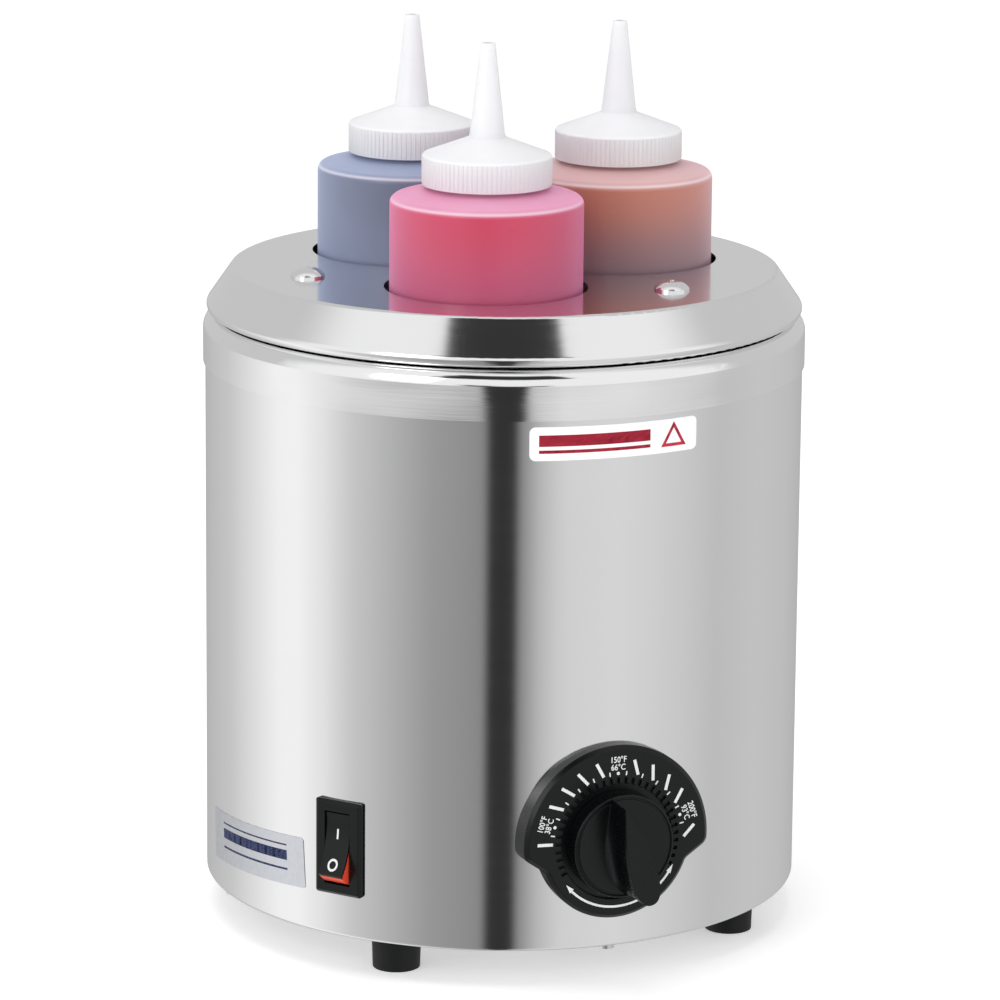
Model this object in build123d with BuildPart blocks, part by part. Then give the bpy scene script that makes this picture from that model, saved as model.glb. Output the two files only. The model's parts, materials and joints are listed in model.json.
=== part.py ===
# Round electric sauce-bottle warmer: a heated water bath with a lift-out rack that
# holds three squeeze bottles.  Millimetres and degrees.
# Frame: +Z up, origin on the round body's axis in the plane that the feet stand on.
# The thermostat dial faces -Y.  Bearings round the body are measured from the front,
# positive towards +X.
import os
from math import cos, hypot, pi, radians, sin, sqrt, tan

from build123d import *

os.makedirs("parts", exist_ok=True)

# ---------------------------------------------------------------- driving dimensions
# Round body
rim_radius = 107.0
rim_height = 217.5
rim_width = 17.0
rim_skirt = 17.5
rim_shoulder = 5.5
sheet = 0.7
foot_height = 13.1
shroud_flange = 7.7

# Water bath
bath_depth = 135.5
bath_floor_round = 8.0
bath_lip_round = 3.0

# Lid, rack and shelf
lid_rise = 16.5
lid_top_inset = 10.2
lid_overhang = 1.0
lid_edge_round = 2.5
lid_flange = 10.5
lid_sheet = 0.9
lid_ring_depth = 14.0
lid_ring_gap = 1.0
shelf_clearance = 19.0
shelf_inset = 6.0
rod_radius = 4.0
rod_inset = 16.0
rod_bearings = (-90.0, 30.0, 150.0)

# Bottles and caps: heights are measured from the bottle's own base
bottle_bearings = {"front": -30.0, "right": 90.0, "left": -150.0}
bottle_radius = 33.67
bottle_gap = 7.3
bottle_shoulder = 163.4
bottle_wall = 1.2
bottle_foot_round = 3.5
bottle_hole_gap = 1.85
sauce_level = {"front": 161.0, "right": 160.5, "left": 161.2}
neck_bottom = 167.9
neck_top = 176.7
cap_radius = 22.5
cap_bottom = 168.8
cap_edge = 179.1
cap_cone_top = 185.3
cap_wall = 1.5
nozzle_base_radius = 6.25
nozzle_tip_radius = 2.55
nozzle_top = 217.8
nozzle_wall = 1.2
thread_pitch = 4.2
thread_height = 1.1
thread_width = 1.6
thread_turns = 1.3
thread_play = 0.4

# Dial, knob and thermostat
dial_height = 52.0
dial_proud = 4.05
dial_upper_radius = 34.0
dial_lower_radius = 27.5
dial_upper_sweep = 96.0
dial_shoulder_sweep = 109.0
dial_bevel = 1.3
dial_pocket_radius = 20.5
dial_pocket_depth = 1.2
dial_notch_depth = 2.2
dial_notch_step = 7.25
dial_notches = 33
knob_radius = 18.25
knob_flange = 7.2
knob_reach = 19.5
knob_grip_length = 36.6
knob_grip_width = 10.6
pointer_bearing = -16.5
shaft_radius = 3.0
thermostat_size = (34.0, 32.0, 46.0)
thermostat_setback = 3.75
thermostat_screw_gap = 28.0

# Rocker switch
switch_bearing = -52.7
switch_height = 45.5
switch_frame = (18.7, 33.8)
switch_frame_depth = 2.0
switch_body = (13.0, 29.0)
switch_body_depth = 20.0
rocker_size = (9.6, 21.4)
rocker_tilt = 14.0
rocker_setback = 3.85
rocker_edge = 8.2
rocker_hollow = 2.0
rocker_cap_thickness = 0.8
rocker_pin_radius = 1.0

# Heater under the bath
element_ring = 50.0
element_radius = 4.0
element_gap = 20.0
element_drop = 12.0
strap_length = 122.0
strap_width = 22.0
strap_thickness = 2.0
tie_stud_radius = 3.0
bulb_radius = 3.0
bulb_length = 50.0
bulb_offset = 24.0
capillary_radius = 1.0

# Cord gland and wiring
gland_height = 36.0
gland_bore = 4.0
gland_thread = 6.0
gland_hex = 9.5
gland_length = 23.75
wire_radius = 1.4
block_size = (36.0, 18.0, 15.0)
block_centre = (45.0, 45.0)

# Feet and small fasteners
foot_inset = 16.85
foot_radius = 8.75
foot_base_radius = 8.3
foot_bearings = {"front_left": -45.0, "front_right": 45.0, "rear_right": 135.0, "rear_left": -135.0}
foot_screw_radius = 2.0
base_screw_radius = 1.5
base_screw_bearings = (0.0, 90.0, 180.0, 270.0)
dome_head_radius = 6.1
dome_head_height = 3.6
bolt_radius = 2.5

# Labels
label_size = (62.0, 11.6)
label_drop = 7.9
badge_size = (61.0, 18.0)
badge_height = 35.0
badge_bearing = -77.5
badge_tilt = 3.4
label_thickness = 0.2

# Clearances
sheet_gap = 0.05      # shroud inside the rim skirt, pan inside the shroud
body_gap = 0.3        # faces of separate moving bodies
running_fit = 0.05    # pin, shaft and plunger in their bores, on the radius
hole_gap = 0.2        # cut-outs round fixed pieces

# ---------------------------------------------------------------- derived places
seam_height = rim_height - rim_skirt
shroud_radius = rim_radius - sheet - sheet_gap
shroud_inner = shroud_radius - sheet
pan_bottom = foot_height + sheet
pan_top = pan_bottom + 1.2
bath_radius = rim_radius - rim_width
bath_floor = rim_height - bath_depth
bath_underside = bath_floor - sheet
element_bottom = bath_underside - 2 * element_radius
lid_height = rim_height + lid_rise
lid_underside = lid_height - lid_sheet
lid_bottom = rim_height + body_gap
shelf_height = bath_floor + shelf_clearance
shelf_radius = bath_radius - shelf_inset
rod_ring = bath_radius - rod_inset
bottle_bottom = shelf_height + body_gap
bottle_ring = (bottle_radius + bottle_gap / 2) / sin(pi / len(bottle_bearings))
cap_inner = cap_radius - cap_wall
neck_radius = cap_inner - thread_height - thread_play
dial_face = shroud_radius + dial_proud
dial_pocket = dial_face - dial_pocket_depth
knob_back = dial_pocket + body_gap
knob_front = dial_face + knob_reach
thermostat_face = shroud_radius - thermostat_setback
rocker_pivot = shroud_radius - rocker_setback
foot_ring = shroud_radius - foot_inset
label_height = seam_height - label_drop
parts = []


def wall_plane(bearing, height, radius):
    """Plane facing outwards at a bearing round the body; its Y axis points up."""
    a = radians(bearing)
    return Plane(
        origin=(radius * sin(a), -radius * cos(a), height),
        x_dir=(cos(a), sin(a), 0),
        z_dir=(sin(a), -cos(a), 0),
    )


def axis_plane(x, y, z=0):
    """Upright plane through a vertical axis, for profiles that are revolved about it."""
    return Plane(origin=(x, y, z), x_dir=(1, 0, 0), z_dir=(0, -1, 0))


def on_ring(radius, bearing):
    a = radians(bearing)
    return radius * sin(a), -radius * cos(a)


def corner_radii(points):
    """Bend radius for each corner: what the shorter of its two runs allows."""
    radii = []
    for before, corner, after in zip(points, points[1:], points[2:]):
        first = Vector(*corner) - Vector(*before)
        second = Vector(*after) - Vector(*corner)
        turn = radians(first.get_angle(second))
        radii.append(min(0.45 * min(first.length, second.length) / tan(turn / 2), 60.0))
    return radii


def save(piece, name, colour):
    piece.label = name
    piece.color = Color(*colour)
    export_step(piece, f"parts/{name}.step")
    parts.append(piece)


steel = (0.78, 0.79, 0.80)
black = (0.05, 0.05, 0.06)
brass = (0.80, 0.65, 0.30)
white = (0.93, 0.93, 0.93)

# ---------------------------------------------------------------- shroud and base
with BuildPart() as shroud:
    with BuildSketch(Plane.XZ):
        with BuildLine():
            FilletPolyline(
                (shroud_inner - shroud_flange + sheet, foot_height),
                (shroud_radius, foot_height),
                (shroud_radius, rim_height - rim_shoulder - 2),
                radius=1.4,
            )
            offset(amount=sheet, side=Side.LEFT)
        make_face()
    revolve(axis=Axis.Z)
    # cut-outs for the thermostat neck and its screws, the switch and the cord gland
    with BuildSketch(wall_plane(0, dial_height, bath_radius)):
        Circle(dial_pocket_radius - 4)
    extrude(amount=rim_radius - bath_radius, mode=Mode.SUBTRACT)
    with BuildSketch(wall_plane(switch_bearing, switch_height, bath_radius)):
        Rectangle(switch_body[0] + 2 * hole_gap, switch_body[1] + 2 * hole_gap)
    extrude(amount=rim_radius - bath_radius, mode=Mode.SUBTRACT)
    with BuildSketch(wall_plane(180, gland_height, bath_radius)):
        Circle(gland_thread + hole_gap)
    extrude(amount=rim_radius - bath_radius, mode=Mode.SUBTRACT)
    for bearing in base_screw_bearings:
        with BuildSketch(Plane.XY.offset(foot_height - 1)):
            with Locations(on_ring(shroud_inner - shroud_flange / 2, bearing)):
                Circle(base_screw_radius + hole_gap)
        extrude(amount=3, mode=Mode.SUBTRACT)
save(shroud.part, "shroud", steel)

pan_radius = shroud_inner - sheet_gap
pan_flange = 9.0
with BuildPart() as base_pan:
    with BuildSketch(Plane.XZ):
        with BuildLine():
            FilletPolyline(
                (0, pan_bottom),
                (pan_radius, pan_bottom),
                (pan_radius, pan_bottom + pan_flange),
                radius=2.0,
            )
            offset(amount=pan_top - pan_bottom, side=Side.LEFT)
        make_face()
    revolve(axis=Axis.Z)
    with BuildSketch(Plane.XY.offset(pan_bottom - 1)):
        Circle(tie_stud_radius + hole_gap)
        with PolarLocations(62, 12):
            SlotOverall(22, 4)
        for bearing in foot_bearings.values():
            with Locations(on_ring(foot_ring, bearing)):
                Circle(foot_screw_radius + hole_gap)
        for bearing in base_screw_bearings:
            with Locations(on_ring(shroud_inner - shroud_flange / 2, bearing)):
                Circle(base_screw_radius)
    extrude(amount=4, mode=Mode.SUBTRACT)
save(base_pan.part, "base_pan", steel)

# ---------------------------------------------------------------- water bath
with BuildPart() as vessel:
    with BuildSketch(Plane.XZ):
        with BuildLine():
            FilletPolyline(
                (0, bath_floor),
                (bath_radius, bath_floor),
                (bath_radius, rim_height),
                (rim_radius, rim_height),
                (rim_radius, seam_height),
                radius=[bath_floor_round, bath_lip_round, rim_shoulder],
            )
            offset(amount=sheet, side=Side.RIGHT)
        make_face()
    revolve(axis=Axis.Z)
save(vessel.part, "vessel", steel)

tie_nut_height = 5.0
tie_stud_end = pan_bottom - tie_nut_height - 1
with BuildPart() as tie_stud:
    with BuildSketch(Plane.XY.offset(tie_stud_end)):
        Circle(tie_stud_radius)
    extrude(amount=bath_underside - tie_stud_end)
    chamfer(tie_stud.faces().sort_by(Axis.Z)[0].edges(), length=0.6)
save(tie_stud.part, "tie_stud", steel)

with BuildPart() as tie_nut:
    with BuildSketch(Plane.XY.offset(pan_bottom - tie_nut_height)):
        RegularPolygon(radius=5.0, side_count=6, major_radius=False)
        Circle(tie_stud_radius, mode=Mode.SUBTRACT)
    extrude(amount=tie_nut_height)
save(tie_nut.part, "tie_nut", steel)

# ---------------------------------------------------------------- heating element
element_z = bath_underside - element_radius
element_sweep = 360 - element_gap
leg_bottom = element_z - element_drop
pin_length = 9.0
leg_places = [on_ring(element_ring, 180 + side * element_gap / 2) for side in (1, -1)]
with BuildPart() as heating_element:
    with BuildSketch(Plane.XZ):
        with Locations((element_ring, element_z)):
            Circle(element_radius)
    revolve(axis=Axis.Z, revolution_arc=element_sweep)
    ring = heating_element.part
    heating_element.part = ring.rotate(Axis.Z, 90 + element_gap / 2)
    for x, y in leg_places:
        with Locations((x, y, element_z)):
            Sphere(element_radius)
        with BuildSketch(Plane.XY.offset(leg_bottom)):
            with Locations((x, y)):
                Circle(element_radius)
        extrude(amount=element_drop)
        with BuildSketch(Plane.XY.offset(leg_bottom - pin_length)):
            with Locations((x, y)):
                Circle(1.6)
        extrude(amount=pin_length)
save(heating_element.part, "heating_element", (0.35, 0.33, 0.30))

with BuildPart() as element_strap:
    with BuildSketch(Plane.XY.offset(element_bottom - strap_thickness)):
        SlotOverall(strap_length, strap_width)
        Circle(tie_stud_radius + hole_gap, mode=Mode.SUBTRACT)
    extrude(amount=strap_thickness)
save(element_strap.part, "element_strap", steel)

with BuildPart() as element_nut:
    with BuildSketch(Plane.XY.offset(element_bottom - strap_thickness - tie_nut_height)):
        RegularPolygon(radius=5.0, side_count=6, major_radius=False)
        Circle(tie_stud_radius, mode=Mode.SUBTRACT)
    extrude(amount=tie_nut_height)
save(element_nut.part, "element_nut", steel)

# ---------------------------------------------------------------- thermostat
body_wide, body_deep, body_tall = thermostat_size
thermostat_back = thermostat_face - body_deep
screw_places = [(-thermostat_screw_gap / 2, 0), (thermostat_screw_gap / 2, 0)]
neck_outer = 6.0
screw_radius = 2.0
screw_head = 3.7
screw_head_depth = 1.8
shaft_start = thermostat_face - 6
with BuildPart() as thermostat_body:
    with BuildSketch(wall_plane(0, dial_height, thermostat_back)):
        RectangleRounded(body_wide, body_tall, 3)
    extrude(amount=body_deep)
    with BuildSketch(wall_plane(0, dial_height, thermostat_face)):
        Circle(neck_outer)
    extrude(amount=dial_pocket - 1 - thermostat_face)
    with BuildSketch(wall_plane(0, dial_height, shaft_start)):
        Circle(shaft_radius + running_fit)
    extrude(amount=dial_face - shaft_start, mode=Mode.SUBTRACT)
    with BuildSketch(wall_plane(0, dial_height, thermostat_face - 8)):
        with Locations(*screw_places):
            Circle(screw_radius)
    extrude(amount=8, mode=Mode.SUBTRACT)
save(thermostat_body.part, "thermostat_body", (0.25, 0.22, 0.20))

blade = (6.3, 0.8, 8.0)
thermostat_blades = [(-9, dial_height), (9, dial_height - 12)]
with BuildPart() as thermostat_terminals:
    for x, z in thermostat_blades:
        with BuildSketch(wall_plane(0, 0, thermostat_back)):
            with Locations((x, z)):
                Rectangle(blade[1], blade[0])
        extrude(amount=-blade[2])
save(thermostat_terminals.part, "thermostat_terminals", brass)

shaft_end = knob_front - 4.8
flat_depth = 1.2
with BuildPart() as thermostat_shaft:
    with BuildSketch(wall_plane(0, dial_height, shaft_start + 0.3)):
        Circle(shaft_radius)
    extrude(amount=shaft_end - shaft_start - 0.3)
    # flat on the outer end that drives the knob, square to the pointer
    with BuildSketch(wall_plane(0, dial_height, dial_face + 1)):
        with Locations(Location((0, 0, 0), (0, 0, -pointer_bearing))):
            with Locations((0, 2 * shaft_radius - flat_depth)):
                Rectangle(3 * shaft_radius, 2 * shaft_radius)
    extrude(amount=shaft_end - dial_face, mode=Mode.SUBTRACT)
save(thermostat_shaft.part, "thermostat_shaft", steel)

bulb_z = bath_underside - bulb_radius
bulb_start = (-bulb_length / 2, -bulb_offset, bulb_z)
bulb_end = (bulb_length / 2, -bulb_offset, bulb_z)
capillary_points = [
    bulb_end,
    (bulb_length / 2 + 7, -bulb_offset, bulb_z),
    (bulb_length / 2 + 8, -bulb_offset - 4, element_bottom - 8),
    (bulb_length / 2 - 8, -thermostat_back + 12, element_bottom - 14),
    (8, -thermostat_back + 10, dial_height + 8),
    (8, -thermostat_back, dial_height + 8),
]
with BuildPart() as thermostat_bulb:
    with BuildSketch(Plane(origin=bulb_start, z_dir=(1, 0, 0))):
        Circle(bulb_radius)
    extrude(amount=bulb_length)
    fillet(thermostat_bulb.edges().filter_by(GeomType.CIRCLE), radius=1.4)
    with BuildLine() as capillary:
        FilletPolyline(*capillary_points, radius=corner_radii(capillary_points))
    with BuildSketch(Plane(origin=bulb_end, z_dir=capillary.line % 0)):
        Circle(capillary_radius)
    sweep(path=capillary.line)
save(thermostat_bulb.part, "thermostat_bulb", (0.72, 0.45, 0.30))

clip_sheet = 0.8
clip_reach = bulb_radius + clip_sheet
with BuildPart() as bulb_clip:
    with BuildSketch(Plane(origin=(-5, -bulb_offset, 0), x_dir=(0, 1, 0), z_dir=(1, 0, 0))):
        with Locations((0, bulb_z)):
            Circle(clip_reach)
        with Locations((0, bulb_z + bulb_radius / 2)):
            Rectangle(2 * clip_reach, bulb_radius)
        with Locations((0, bath_underside - clip_sheet / 2)):
            Rectangle(2 * clip_reach + 10, clip_sheet)
        with Locations((0, bulb_z)):
            Circle(bulb_radius, mode=Mode.SUBTRACT)
        with Locations((0, bulb_z + 2 * bulb_radius)):
            Rectangle(2 * bulb_radius, 4 * bulb_radius, mode=Mode.SUBTRACT)
        with Locations((0, bath_underside + bulb_radius)):
            Rectangle(8 * bulb_radius, 2 * bulb_radius, mode=Mode.SUBTRACT)
    extrude(amount=10)
save(bulb_clip.part, "bulb_clip", steel)

# ---------------------------------------------------------------- dial and knob
with BuildPart() as dial_bezel:
    with BuildSketch(wall_plane(0, dial_height, bath_radius)) as outline:
        Circle(dial_lower_radius)
        with BuildLine():
            crown = CenterArc((0, 0), dial_upper_radius, 90 - dial_upper_sweep, 2 * dial_upper_sweep)
            shoulders = CenterArc((0, 0), dial_lower_radius, 90 - dial_shoulder_sweep,
                                  2 * dial_shoulder_sweep, mode=Mode.PRIVATE)
            Polyline(crown @ 1, shoulders @ 1, (0, 0), shoulders @ 0, crown @ 0)
        make_face()
        step = dial_upper_radius - dial_lower_radius
        inner = outline.vertices().group_by(lambda v: round(hypot(v.X, v.Y), 1))[0]
        fillet(inner, radius=0.5 * step)
        outer = outline.vertices().group_by(lambda v: round(hypot(v.X, v.Y), 1))[-1]
        fillet(outer, radius=0.6 * step)
    extrude(amount=dial_face - bath_radius)
    chamfer(dial_bezel.faces().sort_by(Axis.Y)[0].edges(), length=dial_bevel)
    with BuildSketch(Plane.XY):
        Circle(shroud_radius)
    extrude(amount=dial_height + 2 * dial_upper_radius, mode=Mode.SUBTRACT)
    # toothed pocket that the knob locks into
    with BuildSketch(wall_plane(0, dial_height, dial_pocket)):
        Circle(dial_pocket_radius)
        notch_span = (dial_notches - 1) * dial_notch_step
        with PolarLocations(dial_pocket_radius + dial_notch_depth / 2 - 0.5, dial_notches,
                            start_angle=90 - notch_span / 2, angular_range=notch_span, endpoint=True):
            Rectangle(dial_notch_depth + 1, 1.3)
    extrude(amount=dial_pocket_depth, mode=Mode.SUBTRACT)
    with BuildSketch(wall_plane(0, dial_height, bath_radius)):
        Circle(neck_outer + hole_gap)
    extrude(amount=dial_face - bath_radius, mode=Mode.SUBTRACT)
    with BuildSketch(wall_plane(0, dial_height, dial_pocket)):
        with Locations(*screw_places):
            Circle(screw_head)
    extrude(amount=-screw_head_depth, taper=42, mode=Mode.SUBTRACT)
    with BuildSketch(wall_plane(0, dial_height, bath_radius)):
        with Locations(*screw_places):
            Circle(screw_radius + running_fit)
    extrude(amount=dial_face - bath_radius, mode=Mode.SUBTRACT)
save(dial_bezel.part, "dial_bezel", black)

with BuildPart() as dial_screws:
    with BuildSketch(wall_plane(0, dial_height, dial_pocket)):
        with Locations(*screw_places):
            Circle(screw_head)
    extrude(amount=-screw_head_depth, taper=42)
    with BuildSketch(wall_plane(0, dial_height, thermostat_face - 7)):
        with Locations(*screw_places):
            Circle(screw_radius)
    extrude(amount=dial_pocket - screw_head_depth - thermostat_face + 7)
    for x, z in screw_places:
        with BuildSketch(wall_plane(0, dial_height, dial_pocket)):
            with Locations((x, z)):
                Rectangle(3.6, 0.7)
                Rectangle(0.7, 3.6)
        extrude(amount=-0.9, mode=Mode.SUBTRACT)
save(dial_screws.part, "dial_screws", steel)

knob_flange_face = knob_back + knob_flange
grip_heights = (0.0, 2.6, 6.5, knob_front - knob_flange_face)
grip_flares = (1.5, 1.14, 1.0, 0.92)
with BuildPart() as knob:
    with BuildSketch(wall_plane(0, dial_height, knob_back)):
        Circle(knob_radius)
    extrude(amount=knob_flange)
    fillet(knob.faces().sort_by(Axis.Y)[0].edges(), radius=0.5)
    with BuildSketch(wall_plane(0, dial_height, knob_flange_face)):
        Circle(knob_radius - 0.8)
        Circle(knob_radius - 1.6, mode=Mode.SUBTRACT)
    extrude(amount=-0.5, mode=Mode.SUBTRACT)
    # teardrop grip with hollow flanks: narrow at the pointer, full at the tail
    for height, flare in zip(grip_heights, grip_flares):
        with BuildSketch(wall_plane(0, dial_height, knob_flange_face + height)):
            half = knob_grip_width / 2 * flare
            reach = knob_grip_length / 2
            with BuildLine(mode=Mode.PRIVATE) as flank:
                Spline((0, reach), (0.6 * half, 0.38 * reach), (half, -0.38 * reach), (0, -reach),
                       tangents=[(0.3, -1), (-1, 0)])
            with BuildLine():
                add(flank.line.rotate(Axis.Z, -pointer_bearing))
                add(flank.line.mirror(Plane.YZ).rotate(Axis.Z, -pointer_bearing))
            make_face()
    loft()
    # bore with its drive flat
    with BuildSketch(wall_plane(0, dial_height, knob_back)):
        Circle(shaft_radius + running_fit)
    extrude(amount=shaft_end + 0.5 - knob_back, mode=Mode.SUBTRACT)
save(knob.part, "knob", black)

# ---------------------------------------------------------------- rocker switch
frame_plane = wall_plane(switch_bearing, switch_height, shroud_radius)
frame_front = shroud_radius + switch_frame_depth
outwards = Axis(frame_plane.origin, frame_plane.z_dir)
cavity_depth = 10.3
lip = 1.5
rocker_reach = hypot(rocker_edge, rocker_size[1] / 2)
lip_level = frame_front - lip - rocker_pivot
opening = (rocker_size[0] + 0.6, 2 * sqrt(rocker_reach ** 2 - lip_level ** 2) + 2 * body_gap)
cavity = (rocker_size[0] + 0.6, 2 * (rocker_reach + body_gap))
with BuildPart() as switch_housing:
    with BuildSketch(frame_plane):
        RectangleRounded(*switch_frame, 1.0)
    extrude(amount=switch_frame_depth)
    chamfer(switch_housing.faces().sort_by(outwards)[-1].edges(), length=1.0)
    with BuildSketch(frame_plane.offset(-switch_body_depth)):
        Rectangle(*switch_body)
    extrude(amount=switch_body_depth)
    with BuildSketch(frame_plane.offset(switch_frame_depth - cavity_depth)):
        Rectangle(*cavity)
    extrude(amount=cavity_depth - lip, mode=Mode.SUBTRACT)
    with BuildSketch(frame_plane.offset(switch_frame_depth - lip)):
        Rectangle(*opening)
    extrude(amount=lip, mode=Mode.SUBTRACT)
    with BuildSketch(Plane(frame_plane.offset(rocker_pivot - shroud_radius).origin, z_dir=frame_plane.x_dir)):
        Circle(rocker_pin_radius)
    extrude(amount=switch_body[0] / 2 + 1, both=True, mode=Mode.SUBTRACT)
save(switch_housing.part, "switch_housing", black)

pivot = frame_plane.offset(rocker_pivot - shroud_radius)
rocker_axis = Axis(pivot.origin, pivot.x_dir)
# profile plane: x runs outwards from the pivot, y runs up
profile_plane = Plane(pivot.origin, x_dir=pivot.z_dir, z_dir=-pivot.x_dir)
rocker_half = rocker_size[1] / 2


def rocker_profile(depth):
    """Rocker seen from the side: hollow face sunk by depth, ends round about the pivot."""
    edge = rocker_edge - depth
    with BuildSketch() as profile:
        with BuildLine():
            face = ThreePointArc((edge, -rocker_half), (edge - rocker_hollow, 0), (edge, rocker_half))
            Polyline(face @ 1, (edge - 1.2, rocker_reach + 1), (2.4, rocker_reach + 1), (-1.6, 5),
                     (-1.6, -5), (2.4, -rocker_reach - 1), (edge - 1.2, -rocker_reach - 1), face @ 0)
        make_face()
        Circle(rocker_reach, mode=Mode.INTERSECT)
    return profile.sketch


rocker_core = rocker_profile(rocker_cap_thickness)
rocker_whole = rocker_profile(0)
with BuildPart() as rocker_body:
    with BuildSketch(profile_plane):
        add(rocker_core)
        Circle(rocker_pin_radius + running_fit, mode=Mode.SUBTRACT)
    extrude(amount=rocker_size[0] / 2 - 0.2, both=True)
save(rocker_body.part.rotate(rocker_axis, -rocker_tilt), "rocker_body", (0.85, 0.2, 0.12))

with BuildPart() as rocker_cap:
    with BuildSketch(profile_plane):
        add(rocker_whole)
        add(rocker_core, mode=Mode.SUBTRACT)
    extrude(amount=rocker_size[0] / 2, both=True)
save(rocker_cap.part.rotate(rocker_axis, -rocker_tilt), "rocker_cap", black)

with BuildPart() as rocker_pin:
    with BuildSketch(Plane(pivot.origin, z_dir=pivot.x_dir)):
        Circle(rocker_pin_radius)
    extrude(amount=switch_body[0] / 2, both=True)
save(rocker_pin.part, "rocker_pin", steel)

with BuildPart() as switch_terminals:
    with BuildSketch(frame_plane.offset(-switch_body_depth)):
        with Locations((0, 7), (0, -7)):
            Rectangle(blade[0], blade[1])
    extrude(amount=-blade[2])
save(switch_terminals.part, "switch_terminals", brass)

# ---------------------------------------------------------------- cord gland
gland_plane = wall_plane(180, gland_height, shroud_radius)
gland_hex_height = 5.0
gland_inside = 14.0
with BuildPart() as cord_gland:
    with BuildSketch(gland_plane.offset(-gland_inside)):
        Circle(gland_thread)
    extrude(amount=gland_inside)
    with BuildSketch(gland_plane):
        RegularPolygon(radius=gland_hex, side_count=6)
    extrude(amount=gland_hex_height)
    with BuildSketch(gland_plane.offset(gland_hex_height)):
        Circle(gland_thread)
    extrude(amount=5)
    with BuildSketch(gland_plane.offset(-gland_inside)):
        Circle(gland_bore)
    extrude(amount=gland_inside + gland_length, mode=Mode.SUBTRACT)
save(cord_gland.part, "cord_gland", black)

gland_cap_start = gland_hex_height + 0.4
with BuildPart() as gland_cap:
    with BuildSketch(Plane(origin=gland_plane.origin, x_dir=(1, 0, 0), z_dir=(0, 0, 1))):
        with BuildLine():
            Polyline(
                (gland_thread, gland_cap_start),
                (gland_hex - 0.7, gland_cap_start),
                (gland_hex - 0.7, gland_cap_start + 8),
                (gland_bore + 3.2, gland_length - 1),
                (gland_bore + 2.2, gland_length),
                (gland_bore, gland_length),
                (gland_bore, gland_hex_height + 5),
                (gland_thread, gland_hex_height + 5),
                close=True,
            )
        make_face()
    revolve(axis=Axis(gland_plane.origin, gland_plane.z_dir))
save(gland_cap.part, "gland_cap", black)

gland_nut_seat = shroud_radius - sqrt(shroud_inner ** 2 - 11 ** 2)
with BuildPart() as gland_nut:
    with BuildSketch(gland_plane.offset(-gland_nut_seat - 4)):
        RegularPolygon(radius=11, side_count=6)
        Circle(gland_thread, mode=Mode.SUBTRACT)
    extrude(amount=4)
save(gland_nut.part, "gland_nut", steel)

# ---------------------------------------------------------------- terminal block and wiring
block_wide, block_deep, block_tall = block_size
block_x, block_y = block_centre
block_front = block_y - block_deep / 2
block_poles = [block_x + step for step in (-11, 0, 11)]
pole_z = pan_top + 6
with BuildPart() as terminal_block:
    with BuildSketch(Plane.XY.offset(pan_top)):
        with Locations(block_centre):
            RectangleRounded(block_wide, block_deep, 1.5)
    extrude(amount=block_tall)
    with BuildSketch(Plane.XY.offset(pan_top + block_tall)):
        with Locations(*[(x, block_y) for x in block_poles]):
            Circle(3.0)
    extrude(amount=-6, mode=Mode.SUBTRACT)
    with BuildSketch(Plane(origin=(0, block_front, 0), x_dir=(1, 0, 0), z_dir=(0, -1, 0))):
        with Locations(*[(x, pole_z) for x in block_poles]):
            Circle(wire_radius)
    extrude(amount=-block_deep, mode=Mode.SUBTRACT)
save(terminal_block.part, "terminal_block", white)

with BuildPart() as block_screws:
    with BuildSketch(Plane.XY.offset(pan_top + block_tall - 6)):
        with Locations(*[(x, block_y) for x in block_poles]):
            Circle(2.6)
    extrude(amount=3)
    with BuildSketch(Plane.XY.offset(pan_top + block_tall - 3)):
        with Locations(*[(x, block_y) for x in block_poles]):
            Rectangle(6, 0.8)
    extrude(amount=-0.8, mode=Mode.SUBTRACT)
save(block_screws.part, "block_screws", brass)

ground_x = block_poles[2] + 10
with BuildPart() as ground_stud:
    with BuildSketch(Plane.XY.offset(pan_top)):
        with Locations((ground_x, 0)):
            Circle(2.0)
    extrude(amount=11)
    with BuildSketch(Plane.XY.offset(pan_top)):
        with Locations((ground_x, 0)):
            RegularPolygon(radius=3.5, side_count=6, major_radius=False)
    extrude(amount=2.4)
save(ground_stud.part, "ground_stud", brass)

blade_ring = shroud_radius - switch_body_depth - blade[2]
lead_ring = blade_ring - 12
line_blade = (*on_ring(blade_ring, switch_bearing), switch_height - 7)
line_lead = (*on_ring(lead_ring, switch_bearing), switch_height - 7)
load_blade = (*on_ring(blade_ring, switch_bearing), switch_height + 7)
load_lead = (*on_ring(lead_ring, switch_bearing), switch_height + 7)
stat_y = -(thermostat_back - blade[2])
(left_x, left_z), (right_x, right_z) = thermostat_blades
pin_z = leg_bottom - pin_length
wires = {
    "line_wire": [
        (block_poles[0], block_front + 4, pole_z), (block_poles[0], 12, pole_z),
        (-12, -16, pole_z + 3), (-38, -29, 32), line_lead, line_blade,
    ],
    "load_wire": [
        load_blade, load_lead, (-30, -40, switch_height + 4),
        (left_x, stat_y + 13, left_z), (left_x, stat_y, left_z),
    ],
    "element_wire": [
        (right_x, stat_y, right_z), (right_x, stat_y + 14, right_z), (16, -18, 36),
        (12, 26, 38), (*leg_places[0], pin_z - 13),
        (*leg_places[0], pin_z),
    ],
    "neutral_wire": [
        (*leg_places[1], pin_z), (*leg_places[1], pin_z - 14),
        (17, 66, 26), (block_poles[0], block_y + block_deep / 2 + 14, pole_z),
        (block_poles[0], block_y + block_deep / 2 - 4, pole_z),
    ],
    "ground_wire": [
        (block_poles[2], block_front + 4, pole_z), (block_poles[2], block_front - 12, pole_z),
        (ground_x, 15, pan_top + 4.5), (ground_x, 2.0, pan_top + 4.5),
    ],
}
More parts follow.
